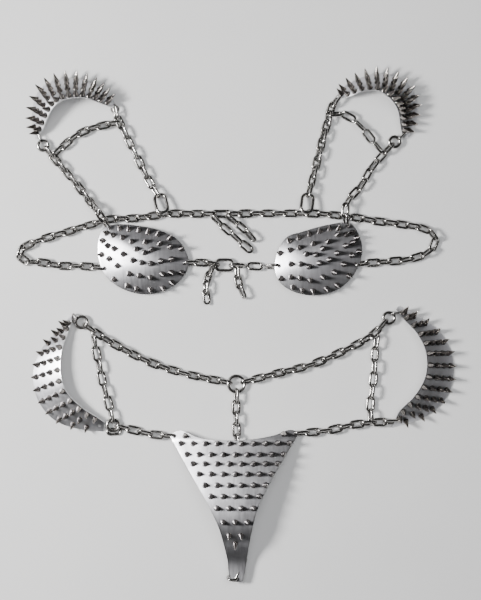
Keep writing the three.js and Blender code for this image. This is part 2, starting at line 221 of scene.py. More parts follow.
def brushed_aluminium():
    """Hand-worked sheet: streaks of brushing, cloudy tarnish, long scratches, and a painted highlight along
    the cut edges.
    """
    material, tree, shader = node_material("brushed_aluminium")
    shader.inputs["Metallic"].default_value = 1.0
    along = mapped(tree, "UV", (1.0, 14.0, 1.0))
    streaks = noise_of(tree, along, 420, detail=5, roughness=0.65)
    broad = noise_of(tree, mapped(tree, "UV", (1.0, 7.0, 1.0)), 60, detail=4)
    clouds = noise_of(tree, mapped(tree, "Object", (1, 1, 1)), 28, detail=5, roughness=0.65, distortion=0.6)
    lines = mapped(tree, "UV", (0.6, 40.0, 1.0))
    scratches = noise_of(tree, lines, 90, detail=2, roughness=0.5, distortion=0.4)
    scratch = ramp_of(tree, scratches, (0.66, 0.0), (0.72, 1.0))
    base = mixed(
        tree,
        ramp_of(tree, clouds, (0.3, 0.0), (0.75, 1.0)),
        (0.6, 0.6, 0.635),
        (0.78, 0.78, 0.81),
    )
    base = mixed(tree, ramp_of(tree, broad, (0.36, 0.3), (0.58, 0.0)), base, (0.5, 0.5, 0.53))
    base = mixed(tree, ramp_of(tree, streaks, (0.35, 0.22), (0.7, 0.0)), base, (0.5, 0.5, 0.52))
    # Painted highlight along the cut edges: the rim attribute lightens the colour and lowers the roughness
    # there.
    rim = attribute_of(tree, "rim")
    colour = mixed(tree, rim, base, (0.9, 0.9, 0.91))
    tree.links.new(colour, shader.inputs["Base Color"])
    rough = mixed(tree, ramp_of(tree, clouds, (0.3, 0.0), (0.7, 1.0)), (0.42, 0.42, 0.42), (0.36, 0.36, 0.36))
    rough = mixed(tree, ramp_of(tree, broad, (0.4, 0.0), (0.65, 0.5)), rough, (0.5, 0.5, 0.5))
    rough = mixed(tree, rim, rough, (0.2, 0.2, 0.2))
    tree.links.new(rough, shader.inputs["Roughness"])
    # Brushed metal spreads a highlight across the lines of the brushing.
    shader.inputs["Anisotropic"].default_value = 0.5
    shader.inputs["Anisotropic Rotation"].default_value = 0.25
    tangent = add_node(tree, "ShaderNodeTangent", direction_type="UV_MAP")
    tree.links.new(tangent.outputs["Tangent"], shader.inputs["Tangent"])
    normal = bumped(tree, streaks, 0.000015, 0.6)
    normal = bumped(tree, scratch, 0.00004, 0.5, normal)
    tree.links.new(normal, shader.inputs["Normal"])
    return material


def turned_steel():
    """The studs: steel turned to a point, with fine tool rings, and painted shade round the base and on the
    screw heads behind the sheet.
    """
    material, tree, shader = node_material("turned_steel")
    shader.inputs["Metallic"].default_value = 1.0
    rings = noise_of(tree, mapped(tree, "UV", (1.0, 60.0, 1.0)), 60, detail=3, roughness=0.5)
    wear = noise_of(tree, mapped(tree, "Object", (1, 1, 1)), 320, detail=4)
    base = mixed(tree, ramp_of(tree, wear, (0.35, 0.0), (0.7, 1.0)), (0.26, 0.24, 0.23), (0.46, 0.44, 0.42))
    # Painted shade, darkest where each stud meets the sheet and on the screw heads behind it.
    painted_shade = attribute_of(tree, "painted_shade")
    colour = mixed(tree, painted_shade, base, (0.09, 0.085, 0.08))
    tree.links.new(colour, shader.inputs["Base Color"])
    tree.links.new(ramp_of(tree, wear, (0.3, 0.14), (0.8, 0.3)), shader.inputs["Roughness"])
    tree.links.new(bumped(tree, rings, 0.00003, 0.5), shader.inputs["Normal"])
    return material


def bright_steel():
    """Chain and rings: bright drawn wire with small scratches and darker patches."""
    material, tree, shader = node_material("bright_steel")
    shader.inputs["Metallic"].default_value = 1.0
    here = mapped(tree, "Object", (1, 1, 1))
    patches = noise_of(tree, here, 90, detail=5, roughness=0.65)
    fine = noise_of(tree, here, 1400, detail=3, roughness=0.6)
    clean = ramp_of(tree, patches, (0.32, 0.0), (0.62, 1.0))
    base = mixed(tree, clean, (0.28, 0.27, 0.26), (0.52, 0.51, 0.5))
    # Painted shade, from the same attribute as on the studs; no chain piece carries it, so this darkens
    # nothing.
    painted_shade = attribute_of(tree, "painted_shade")
    colour = mixed(tree, painted_shade, base, (0.12, 0.11, 0.1))
    tree.links.new(colour, shader.inputs["Base Color"])
    rough = ramp_of(tree, patches, (0.3, 0.3), (0.7, 0.16))
    tree.links.new(rough, shader.inputs["Roughness"])
    tree.links.new(bumped(tree, fine, 0.00003, 0.35), shader.inputs["Normal"])
    return material


ALUMINIUM = brushed_aluminium()
STUD_STEEL = turned_steel()
CHAIN_STEEL = bright_steel()


# ---- Pieces ----
def ride_and_stand_for(piece, nodes):
    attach(piece, "root")
    if nodes:
        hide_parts(*nodes)


def new_piece(name, points, faces, material, nodes=(), painted_shade=None):
    """A smooth-shaded mesh in the design's place."""
    mesh = bpy.data.meshes.new(name)
    mesh.from_pydata([point + SHIFT for point in points], [], faces)
    mesh.materials.append(material)
    mesh.shade_smooth()
    # How much painted shade each point gets, for the material.
    if painted_shade is not None:
        mesh.attributes.new("painted_shade", "FLOAT", "POINT").data.foreach_set("value", painted_shade)
    piece = bpy.data.objects.new(name, mesh)
    bpy.context.collection.objects.link(piece)
    ride_and_stand_for(piece, nodes)
    return piece


# ---- Sheet metal ----
def grid_faces(columns, rows):
    faces = []
    for j in range(rows):
        for i in range(columns):
            a = j * (columns + 1) + i
            below = a + columns + 1
            faces.append((a, a + 1, below + 1, below))
    return faces


def grid_surface(columns, rows, point_at, size):
    """A four-sided surface, with brushing along its columns: points, faces and UVs in metres."""
    shares = [(i / columns, j / rows) for j in range(rows + 1) for i in range(columns + 1)]
    points = [point_at(u, v) for u, v in shares]
    return points, grid_faces(columns, rows), [(u * size[0], v * size[1]) for u, v in shares]


def grid_rim(points, columns, rows):
    """The points round the edge of a grid surface, in order."""
    line = columns + 1
    return (
        points[:line]
        + [points[j * line + columns] for j in range(1, rows)]
        + points[rows * line:][::-1]
        + [points[j * line] for j in range(rows - 1, 0, -1)]
    )


def facing_up(points, faces):
    """The faces, turned over if they face down."""
    a, b, c = (points[i] for i in faces[len(faces) // 2][:3])
    return faces if (b - a).cross(c - a).z > 0 else [face[::-1] for face in faces]


def dented(point, normal):
    """Soft dents of hand-worked sheet, which fade out where it rests on the surface."""
    depth = noise.noise(point * DENTS_PER_METRE) + 0.45 * noise.noise(point * 2.5 * DENTS_PER_METRE)
    fade = min(1, point.z / DENT_FADE)
    return point + normal * (DENT * depth * fade)


def sheet_mesh(name, points, faces, uvs):
    """A sheet whose underside is the surface, with rounded cut edges."""
    faces = facing_up(points, faces)
    plan = bmesh.new()
    for point in points:
        plan.verts.new(point)
    plan.verts.ensure_lookup_table()
    plan.verts.index_update()
    for face in faces:
        plan.faces.new([plan.verts[i] for i in face])
    plan.normal_update()
    normals = [vert.normal.copy() for vert in plan.verts]
    rim_edges = [(edge.verts[0].index, edge.verts[1].index) for edge in plan.edges if edge.is_boundary]
    on_rim = {i for edge in rim_edges for i in edge}
    plan.free()

    body = bmesh.new()
    uv_layer = body.loops.layers.uv.new("UVMap")
    under = [body.verts.new(dented(p, n)) for p, n in zip(points, normals)]
    over = [body.verts.new(dented(p, n) + n * SHEET) for p, n in zip(points, normals)]
    uv_of = {vert: uvs[i] for layer in (under, over) for i, vert in enumerate(layer)}
    for face in faces:
        body.faces.new([over[i] for i in face])
        body.faces.new([under[i] for i in reversed(face)])
    directed = {(face[k], face[(k + 1) % len(face)]) for face in faces for k in range(len(face))}
    for a, b in rim_edges:
        if (a, b) not in directed:
            a, b = b, a
        body.faces.new([over[b], over[a], under[a], under[b]])
    for face in body.faces:
        for loop in face.loops:
            loop[uv_layer].uv = uv_of[loop.vert]
    corners = [
        edge
        for layer in (under, over)
        for edge in {e for i in on_rim for e in layer[i].link_edges}
        if all(v in set(layer[i] for i in on_rim) for v in edge.verts) and edge.calc_face_angle(0) > 1
    ]
    bmesh.ops.bevel(body, geom=corners, offset=RIM_ROUND, segments=2, affect="EDGES", profile=0.6)
    body.normal_update()
    mesh = bpy.data.meshes.new(name)
    body.to_mesh(mesh)
    body.free()
    return mesh


def drill(piece, spots):
    """Cuts the holes for the end links, square to the sheet."""
    for point, normal in spots:
        tool_mesh = bpy.data.meshes.new("drill")
        tool = bmesh.new()
        bmesh.ops.create_cone(
            tool, cap_ends=True, segments=28, radius1=HOLE / 2, radius2=HOLE / 2, depth=6 * SHEET
        )
        tool.to_mesh(tool_mesh)
        tool.free()
        cutter = bpy.data.objects.new("drill", tool_mesh)
        bpy.context.collection.objects.link(cutter)
        turn = normal.to_track_quat("Z", "Y").to_matrix().to_4x4()
        cutter.matrix_world = Matrix.Translation(point) @ turn
        cut = piece.modifiers.new("hole", "BOOLEAN")
        cut.operation = "DIFFERENCE"
        cut.solver = "EXACT"
        cut.object = cutter
        bpy.context.view_layer.update()
        done = bpy.data.meshes.new_from_object(piece.evaluated_get(bpy.context.evaluated_depsgraph_get()))
        piece.modifiers.clear()
        piece.data = done
        bpy.data.objects.remove(cutter)


def mark_rim_highlight(mesh, rim_points):
    """Stores how near each point is to the cut edge, for the painted highlight along it in the material."""
    tree = BVHTree.FromPolygons(
        [point + Vector((0, 0, dz)) for point in rim_points for dz in (-RIM_HIGHLIGHT_REACH / 2, RIM_HIGHLIGHT_REACH / 2)],
        [(2 * i, 2 * i + 1, (2 * i + 3) % (2 * len(rim_points)), (2 * i + 2) % (2 * len(rim_points)))
         for i in range(len(rim_points))],
    )
    near = [max(0.0, 1 - tree.find_nearest(vert.co)[3] / RIM_HIGHLIGHT_REACH) for vert in mesh.vertices]
    mesh.attributes.new("rim", "FLOAT", "POINT").data.foreach_set("value", near)


SHEETS = {}
HOLES = {}


def plate(node, points, faces, uvs, rim, holes):
    """A plate's sheet, drilled, with the place where each later piece meets it kept in SHEETS."""
    mesh = sheet_mesh(f"{node}_sheet", points, faces, uvs)
    piece = bpy.data.objects.new(f"{node}_sheet", mesh)
    bpy.context.collection.objects.link(piece)
    SHEETS[node] = BVHTree.FromPolygons(
        [vert.co.copy() for vert in mesh.vertices], [list(face.vertices) for face in mesh.polygons]
    )
    HOLES[node] = holes
    drill(piece, [spot_on(node, x, y) for x, y in holes])
    mark_rim_highlight(piece.data, rim)
    for vert in piece.data.vertices:
        vert.co += SHIFT
    piece.data.materials.clear()
    piece.data.materials.append(ALUMINIUM)
    piece.data.shade_smooth()
    piece.data.set_sharp_from_angle(angle=math.radians(50))
    ride_and_stand_for(piece, [node])
    return piece


def spot_on(node, x, y):
    """Where a plumb line through a plan position meets the top of a plate, and its normal."""
    point, normal, _, _ = SHEETS[node].ray_cast(Vector((x, y, 0.2)), Vector((0, 0, -1)))
    if point is None:
        raise ValueError(f"no sheet of {node} at {x:.4f}, {y:.4f}")
    return point, normal


# ---- Studs ----
STUD_SIDES = 20
STUD_PROFILE = [  # radius as a share of the base's, height as a share of the whole, painted shade
    (1.0, -0.04, 1.0), (1.03, 0.015, 0.7), (1.0, 0.05, 0.25), (0.9, 0.075, 0.35), (0.88, 0.11, 0.0),
    (0.66, 0.38, 0.0), (0.4, 0.68, 0.0), (0.17, 0.91, 0.0), (0.08, 0.985, 0.0), (0.0, 1.0, 0.0),
]
SCREW_PROFILE = [(1.0, 0.1), (1.0, -0.35), (0.86, -0.75), (0.5, -0.98), (0.0, -1.0)]


def lathe(profile, sides):
    """Points and faces turned about +Z from [(radius, height)] rings that end on the axis."""
    points = []
    faces = []
    for radius, height in profile[:-1]:
        for i in range(sides):
            angle = 2 * math.pi * i / sides
            points.append(Vector((radius * math.cos(angle), radius * math.sin(angle), height)))
    points.append(Vector((0, 0, profile[-1][1])))
    for j in range(len(profile) - 2):
        for i in range(sides):
            k = (i + 1) % sides
            faces.append((j * sides + i, j * sides + k, (j + 1) * sides + k, (j + 1) * sides + i))
    last = (len(profile) - 2) * sides
    faces.extend((last + i, last + (i + 1) % sides, len(points) - 1) for i in range(sides))
    faces.append(tuple(reversed(range(sides))))
    return points, faces


def studs(node, places):
    """A plate's studs, each with the head of the screw that holds it behind the sheet."""
    cone, cone_faces = lathe([(r * STUD_RADIUS, h * STUD_HEIGHT) for r, h, _ in STUD_PROFILE], STUD_SIDES)
    cone_shade = [g for _, _, g in STUD_PROFILE[:-1] for _ in range(STUD_SIDES)] + [0.0]
    head, head_faces = lathe([(r * SCREW_RADIUS, h * SCREW_HEIGHT) for r, h in SCREW_PROFILE], 16)
    head_faces = [face[::-1] for face in head_faces]
    points, faces, painted_shade = [], [], []
    for x, y in places:
        spot, normal = spot_on(node, x, y)
        turn = normal.to_track_quat("Z", "Y").to_matrix().to_4x4()
        stand = Matrix.Translation(spot) @ turn
        behind = stand @ Matrix.Translation((0, 0, -SHEET))
        # The screw heads behind the sheet get painted shade of 0.3.
        for place, form, form_faces, form_shade in (
            (stand, cone, cone_faces, cone_shade),
            (behind, head, head_faces, [0.3] * len(head)),
        ):
            first = len(points)
            points.extend(place @ point for point in form)
            faces.extend(tuple(first + i for i in face) for face in form_faces)
            painted_shade.extend(form_shade)
    new_piece(f"{node}_studs", points, faces, STUD_STEEL, painted_shade=painted_shade)
    return points


# ---- Cups ----
CUPS = {
    "left": (
        [
            (-0.1593, 0.1135), (-0.1448, 0.1175), (-0.1197, 0.116), (-0.0917, 0.11), (-0.0686, 0.097),
            (-0.0578, 0.07), (-0.0715, 0.048), (-0.1043, 0.035), (-0.1351, 0.041), (-0.1573, 0.0585),
            (-0.1654, 0.0876),
        ],
        (-0.107, 0.076),
        [
            (-0.1397, 0.113), (-0.1288, 0.112), (-0.1167, 0.1109), (-0.1058, 0.1085),
            (-0.0942, 0.106), (-0.0799, 0.1015), (-0.0661, 0.089), (-0.1559, 0.1075),
            (-0.1478, 0.105), (-0.1363, 0.102), (-0.1253, 0.0972), (-0.1092, 0.0966),
            (-0.0919, 0.0948), (-0.0793, 0.0912), (-0.1602, 0.0985), (-0.154, 0.0925),
            (-0.1461, 0.0889), (-0.1351, 0.0823), (-0.1196, 0.0883), (-0.1098, 0.0841),
            (-0.1012, 0.0877), (-0.1614, 0.082), (-0.152, 0.077), (-0.1237, 0.0751),
            (-0.1132, 0.0722), (-0.1023, 0.071), (-0.0903, 0.074), (-0.0775, 0.0763),
            (-0.142, 0.0686), (-0.1282, 0.059), (-0.1161, 0.0567), (-0.1029, 0.0543),
            (-0.0885, 0.0584), (-0.0781, 0.0602), (-0.0657, 0.06), (-0.1467, 0.0525),
            (-0.1305, 0.045), (-0.1196, 0.041), (-0.1029, 0.04), (-0.088, 0.0416),
            (-0.0775, 0.0483),
        ],
        [(-0.1578, 0.066), (-0.0623, 0.071), (-0.153, 0.1128)],
    ),
    "right": (
        [
            (0.0594, 0.1015), (0.0797, 0.109), (0.1115, 0.1175), (0.1347, 0.1195), (0.1443, 0.1095),
            (0.1501, 0.088), (0.1434, 0.064), (0.1231, 0.042), (0.0922, 0.0335), (0.0633, 0.0405),
            (0.0493, 0.054), (0.0474, 0.076),
        ],
        (0.085, 0.073),
        [
            (0.0633, 0.098), (0.0743, 0.102), (0.0869, 0.1062), (0.099, 0.1097), (0.1111, 0.1127),
            (0.1221, 0.1133), (0.0522, 0.0835), (0.0639, 0.0871), (0.0749, 0.09), (0.0915, 0.0948),
            (0.1093, 0.0972), (0.1209, 0.1056), (0.1313, 0.106), (0.1386, 0.1085), (0.0829, 0.0823),
            (0.0949, 0.0817), (0.103, 0.0889), (0.1203, 0.0835), (0.1306, 0.0924), (0.1386, 0.096),
            (0.1439, 0.102), (0.065, 0.0704), (0.0765, 0.0704), (0.0863, 0.0674),
            (0.099, 0.0716), (0.1111, 0.0757), (0.1283, 0.0704), (0.1381, 0.081), (0.1463, 0.0855),
            (0.0532, 0.0535), (0.065, 0.0549), (0.0759, 0.0537), (0.0881, 0.0507),
            (0.103, 0.0549), (0.1168, 0.0608), (0.1347, 0.0565), (0.0673, 0.0428),
            (0.0788, 0.0388), (0.0915, 0.0382), (0.1076, 0.041), (0.1203, 0.0453),
        ],
        [(0.0512, 0.068), (0.1419, 0.0705), (0.1323, 0.1155)],
    ),
}


def cup(node, rim_points, middle, stud_places, holes):
    rim = Curve(rim_points, closed=True)
    around, rings = 132, 26
    centre = Vector((*middle, 0))
    spokes = [rim.at(i / around) - centre for i in range(around)]
    longest = max(spoke.length for spoke in spokes)

    def fall(share):
        return math.hypot(share, CUP_ROUND) - CUP_ROUND

    points = [centre + Vector((0, 0, CUP_LIFT + CUP_RISE))]
    faces = []
    for j in range(1, rings + 1):
        for i, spoke in enumerate(spokes):
            share = j / rings
            drop = CUP_RISE * (spoke.length / longest) ** CUP_EVENNESS
            point = centre + spoke * share
            point.z = CUP_LIFT + CUP_RISE - drop * fall(share) / fall(1)
            points.append(point)
            k = (i + 1) % around
            outer = 1 + (j - 1) * around
            inner = outer - around
            if j == 1:
                faces.append((0, outer + i, outer + k))
            else:
                faces.append((inner + i, outer + i, outer + k, inner + k))
    uvs = [(point.y, point.x) for point in points]
    plate(node, points, faces, uvs, points[-around:], holes)
    studs(node, stud_places)


# ---- Crescent plates ----
# Stations pair the points of the inner edge, which stands up, and of the outer edge, which lies
# on the surface: (inner x, y, z, outer x, y). One is at each tip, the others at every second row.
CRESCENTS = {
    "shoulder_plate_left": (
        0.09,
        [1, 2, 3, 4, 4, 4, 4, 4, 4, 4, 4, 3, 3, 3, 2],
        [
            (-0.236, 0.225, 0.008, -0.2395, 0.221), (-0.2315, 0.23, 0.013, -0.2435, 0.236),
            (-0.224, 0.245, 0.021, -0.2435, 0.257), (-0.216, 0.257, 0.027, -0.2345, 0.28),
            (-0.205, 0.264, 0.031, -0.2155, 0.2905), (-0.1905, 0.267, 0.031, -0.192, 0.2925),
            (-0.176, 0.266, 0.027, -0.171, 0.285), (-0.164, 0.262, 0.019, -0.157, 0.275),
            (-0.148, 0.257, 0.008, -0.147, 0.263),
        ],
        [0.045, 0.965],
    ),
    "shoulder_plate_right": (
        0.09,
        [1, 2, 3, 3, 4, 4, 4, 4, 4, 4, 4, 4, 4, 3, 2],
        [
            (0.121, 0.2685, 0.008, 0.122, 0.2725), (0.135, 0.27, 0.013, 0.127, 0.281),
            (0.1505, 0.275, 0.023, 0.145, 0.291), (0.1675, 0.275, 0.029, 0.1675, 0.298),
            (0.18, 0.268, 0.026, 0.1905, 0.294), (0.189, 0.259, 0.018, 0.209, 0.281),
            (0.1935, 0.25, 0.012, 0.2165, 0.2615), (0.1955, 0.237, 0.0085, 0.2135, 0.24),
            (0.199, 0.2225, 0.006, 0.2045, 0.223),
        ],
        [0.03, 0.955],
    ),
    "hip_plate_left": (
        0.03,
        [2, 3, 3, 4, 4, 4, 4, 4, 4, 4, 3, 2],
        [
            (-0.196, 0.008, 0.006, -0.1995, 0.006), (-0.199, -0.005, 0.008, -0.219, -0.015),
            (-0.207, -0.0275, 0.0125, -0.237, -0.038), (-0.2095, -0.0545, 0.015, -0.2435, -0.066),
            (-0.2035, -0.0795, 0.015, -0.236, -0.095), (-0.184, -0.1005, 0.013, -0.216, -0.117),
            (-0.1665, -0.112, 0.01, -0.1825, -0.1275), (-0.158, -0.1185, 0.006, -0.16, -0.129),
        ],
        [0.04, 0.955],
    ),
    "hip_plate_right": (
        0.05,
        [2, 3, 3, 4, 4, 4, 4, 4, 4, 4, 4, 3, 2],
        [
            (0.191, 0.0165, 0.006, 0.194, 0.0195), (0.199, 0.005, 0.009, 0.2155, 0.0085),
            (0.2155, -0.0135, 0.014, 0.2425, -0.0105), (0.2255, -0.036, 0.017, 0.257, -0.036),
            (0.2245, -0.0635, 0.0175, 0.259, -0.067), (0.2115, -0.087, 0.016, 0.2485, -0.093),
            (0.1945, -0.1045, 0.012, 0.225, -0.112), (0.1885, -0.1185, 0.006, 0.1855, -0.1245),
        ],
        [0.045, 0.96],
    ),
}


CRESCENT_WIDTH = 0.04  # across the widest part, for the scale of the brushing


def crescent(node, bulge, studs_in_rows, stations, holes):
    inner = Curve([(x, y, z) for x, y, z, _, _ in stations])
    outer = Curve([(x, y, 0) for _, _, _, x, y in stations])
    gaps = len(stations) - 1

    def point_at(u, v):
        start = inner.point(u)
        across = outer.point(u) - start
        outwards = Vector((across.x, across.y, 0)).normalized()
        out = outwards * -across.z
        out.z = math.hypot(across.x, across.y)
        rise = 4 * bulge * across.length * v * (1 - v)
        return start + across * v + out.normalized() * rise

    columns, rows = gaps * 12, 16
    points, faces, uvs = grid_surface(columns, rows, point_at, (inner.length, CRESCENT_WIDTH))
    rim = grid_rim(points, columns, rows)
    plate(node, points, faces, uvs, rim, [point_at(u, 0.5).to_2d() for u in holes])
    places = []
    for row, count in enumerate(studs_in_rows):
        u = (row + 1) / 2 / gaps
        margin = STUD_FROM_EDGE / (inner.point(u) - outer.point(u)).length
        for i in range(count):
            v = 0.5 if count == 1 else margin + (1 - 2 * margin) * i / (count - 1)
            spot = point_at(u, v)
            places.append((spot.x, spot.y))
    studs(node, places)


# ---- Front plate ----
FRONT_PLATE = {
    "top": [
        (-0.08, -0.134), (-0.068, -0.1285), (-0.044, -0.137), (0, -0.14), (0.044, -0.134),
        (0.064, -0.1275), (0.075, -0.131),
    ],
    "left": [
        (-0.08, -0.134), (-0.056, -0.176), (-0.0355, -0.212), (-0.021, -0.242), (-0.015, -0.263),
        (-0.0105, -0.284), (-0.009, -0.3), (-0.006, -0.309),
    ],
    "right": [
        (0.075, -0.131), (0.056, -0.162), (0.039, -0.191), (0.0245, -0.222), (0.0165, -0.254),
        (0.012, -0.284), (0.0095, -0.3), (0.0065, -0.309),
    ],
    # Height of the middle line at distances from the neck end, and how far the sides drop below it.
    "crest": [
        (-0.14, 0.016), (-0.176, 0.024), (-0.212, 0.029), (-0.24, 0.029), (-0.254, 0.0255),
        (-0.268, 0.017), (-0.28, 0.0116), (-0.29, FRONT_PLATE_TIP + 0.0002),
        (-0.309, FRONT_PLATE_TIP),
    ],
    "drop": 0.011,
    "stud_centre": -0.0015,
    "stud_rows": [
        (-0.1436, 10), (-0.1565, 9), (-0.1673, 8), (-0.1793, 7), (-0.1922, 6), (-0.2053, 5),
        (-0.2193, 4), (-0.2359, 3), (-0.2522, 2), (-0.262, 1),
    ],
    "ear_studs": [(-0.0615, -0.1345), (0.0565, -0.1325)],
    "holes": [(-0.074, -0.1355), (0.07, -0.1325), (0.0006, -0.3043)],
}


def front_plate(top, left, right, crest, drop, stud_centre, stud_rows, ear_studs, holes):
    top_edge, left_edge, right_edge = (Curve(points) for points in (top, left, right))
    crest_line = Curve([(0, y, z) for y, z in crest])
    heights = [crest_line.point(i / 80) for i in range(81)]

    def height_at(y):
        if y >= heights[0].y:
            return heights[0].z
        for before, after in zip(heights, heights[1:]):
            if after.y < y:
                return before.z + (after.z - before.z) * (before.y - y) / (before.y - after.y)
        return heights[-1].z

    first, last = Vector((*top[0], 0)), Vector((*top[-1], 0))

    def point_at(u, v):
        start, end = left_edge.at(v), right_edge.at(v)
        point = start.lerp(end, u)
        point += (top_edge.at(u) - first.lerp(last, u)) * (1 - v) ** 3
        width = (end - start).length / (last - first).length
        point.z = height_at(point.y) - drop * (width * (2 * u - 1)) ** 2
        return point

    columns, rows = 56, 84
    points, faces, _ = grid_surface(columns, rows, point_at, (1, 1))
    uvs = [(point.y, point.x) for point in points]
    rim = grid_rim(points, columns, rows)
    plate("front_plate", points, faces, uvs, rim, holes)
    places = [
        (stud_centre + STUD_PITCH * (i - (count - 1) / 2), y)
        for y, count in stud_rows
        for i in range(count)
    ]
    studs("front_plate", places + ear_studs)


# ---- Links and rings ----
WELD_SWELL = 1.14  # thickness of a link's weld, as a share of its wire's


def wire_loop(length, width, wire, corner=None, bend_steps=8, sides=10, welded=False):
    """A closed loop of round wire in the XY plane, long side along X, with rounded corners."""
    thick = wire / 2
    half_x, half_y = length / 2 - thick, width / 2 - thick
    corner = min(half_x, half_y) if corner is None else corner
    stations = []
    for quarter in range(4):
        start = quarter * math.pi / 2
        middle_x = (half_x - corner) * (1 if quarter in (0, 3) else -1)
        middle_y = (half_y - corner) * (1 if quarter in (0, 1) else -1)
        for step in range(bend_steps + 1):
            angle = start + math.pi / 2 * step / bend_steps
            out = Vector((math.cos(angle), math.sin(angle), 0))
            stations.append((Vector((middle_x, middle_y, 0)) + out * corner, out, thick))
        if quarter == 0 and welded:
            for place, swell in ((0.9, 1.0), (0.45, 1.1), (0.0, WELD_SWELL), (-0.45, 1.1), (-0.9, 1.0)):
                stations.append((Vector((place * wire, half_y, 0)), Vector((0, 1, 0)), thick * swell))
    kept = [s for k, s in enumerate(stations) if (s[0] - stations[k - 1][0]).length > 1e-6]
    points = []
    for middle, out, radius in kept:
        for i in range(sides):
            angle = 2 * math.pi * i / sides
            up = Vector((0, 0, radius * math.sin(angle)))
            points.append(middle + out * (radius * math.cos(angle)) + up)
    faces = []
    for j in range(len(kept)):
        n = (j + 1) % len(kept)
        for i in range(sides):
            k = (i + 1) % sides
            faces.append((j * sides + i, n * sides + i, n * sides + k, j * sides + k))
    return points, faces


def joined(loops):
    """Points and faces of several loops, each with the matrix that places it."""
    points, faces = [], []
    for (form, form_faces), place in loops:
        first = len(points)
        points.extend(place @ point for point in form)
        faces.extend(tuple(first + i for i in face) for face in form_faces)
    return points, faces


def link_place(middle, along, roll):
    """The matrix of a link: its long side lies along a direction, and it is rolled about that.

    A roll of 0 lays the link flat and one of 90 degrees stands it on its long edge.
    """
    along = along.normalized()
    side = Vector((0, 0, 1)).cross(along).normalized()
    up = along.cross(side)
    across = side * math.cos(roll) + up * math.sin(roll)
    turn = Matrix((along, across, along.cross(across))).transposed().to_4x4()
    return Matrix.Translation(middle) @ turn


def heading(degrees, climb=0.0):
    angle, slope = math.radians(degrees), math.radians(climb)
    return Vector((math.cos(angle) * math.cos(slope), math.sin(angle) * math.cos(slope), math.sin(slope)))


LINK_FORM = wire_loop(LINK["length"], LINK["width"], LINK["wire"], welded=True)


# Where the straight sides of a link's middle line end, which is where a rolled link lies lowest.
LINK_CORNERS = [
    (x * (LINK["length"] - LINK["width"]) / 2, y * (LINK["width"] - LINK["wire"]) / 2)
    for x in (-1, 1)
    for y in (-1, 1)
]
ROLL_SPREAD = 9  # degrees either way from a link's own lean
END_LEAN = 25  # most that an end link leans, in degrees


def links_along(route, pitch, lean, ends, odd):
    """Links threaded one through the next along a route, which runs past both outer ends."""
    path = Curve(route)
    half = LINK["length"] / 2
    span = path.length - LINK["length"]
    count = max(1, round(span / pitch)) + 1
    if odd and count % 2 == 0:
        count += 1 if span / count > 0.9 * pitch else -1
    loops = []
    for i in range(count):
        place = half + span * i / max(1, count - 1)
        middle = path.at(place / path.length)
        reach = 0.45 * LINK["length"]
        before = path.at((place - reach) / path.length)
        after = path.at((place + reach) / path.length)
        middle = middle.lerp((before + after) / 2, 0.5)
        roll = math.radians(90 * ((i + 1) % 2) - lean + random.uniform(-ROLL_SPREAD, ROLL_SPREAD))
        if i in (0, count - 1) and ends[0 if i == 0 else 1]:
            roll = math.radians(90 - min(lean, END_LEAN))
        along = after - before
        place = link_place(middle, along, roll)
        lowest = min((place @ Vector((x, y, 0))).z for x, y in LINK_CORNERS) - WELD_SWELL * LINK["wire"] / 2
        if lowest < 0:
            place = Matrix.Translation((0, 0, -lowest)) @ place
        loops.append((LINK_FORM, place))
    return loops


# Rings: outer diameter, and x, y and z of the middle.
RINGS = {
    "shoulder_ring_left": (0.016, -0.2315, 0.2125, 0.005),
    "shoulder_ring_right": (0.0165, 0.1895, 0.217, 0.005),
    "hip_ring_left": (0.018, -0.1855, 0.001, 0.005),
    "hip_ring_right": (0.0175, 0.1825, 0.006, 0.005),
    "hip_ring_low_left": (0.018, -0.148, -0.1225, 0.005),
    "back_ring": (0.0235, 0, -0.073, 0.005),
}

# Oval links: outer length and width, how far the corners are rounded, the middle, and the turn
# from the X axis and the tilt, in degrees. The ovals of the back straps tilt up to cross the band.
OVALS = {
    "band_oval": (0.025, 0.011, 0.00375, (-0.018, 0.1308, 0.004), 0, 0),
    "bust_oval": (0.024, 0.017, 0.0052, (-0.0145, 0.0695, 0.004), 0, 0),
    "back_strap_oval_left": (0.027, 0.0175, 0.0062, (-0.090, 0.143, 0.0089), -76, -15),
    "back_strap_oval_right": (0.027, 0.0175, 0.0062, (0.0845, 0.1435, 0.0089), -98, -15),
}

